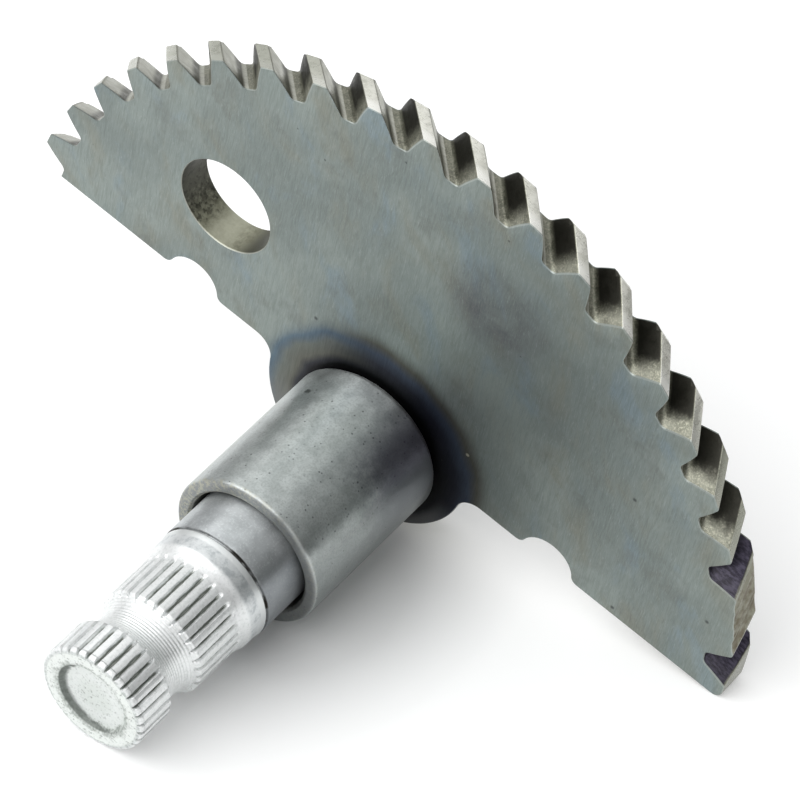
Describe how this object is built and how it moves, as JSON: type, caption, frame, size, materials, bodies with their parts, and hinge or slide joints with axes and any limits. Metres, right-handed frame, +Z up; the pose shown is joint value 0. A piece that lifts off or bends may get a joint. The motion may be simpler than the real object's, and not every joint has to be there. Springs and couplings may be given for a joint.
{
  "type": "kickstart shaft",
  "caption": "Helical gear sector on a short turned shaft with a plain spring sleeve, a ground journal and a splined, necked end for a kick lever.",
  "frame": {"origin": "centre of the bounding box's bottom face, on the surface that the part lies on", "axes": "+Z up; X along the sector's straight edge as it lies, the hub's side towards -X and the low corner towards +X; the splined end points to -Y and slightly down"},
  "size_m": [0.0914, 0.0522, 0.0586],
  "materials": {
    "sector_steel": "brushed, with heat tint round the sleeve",
    "shaft_zinc": "bright zinc plating",
    "sleeve_steel": "satin, slightly pitted"
  },
  "bodies": {
    "root": {"sector_gear": "sector_steel", "kick_shaft": "shaft_zinc", "spring_sleeve": "sleeve_steel"}
  },
  "joints": []
}
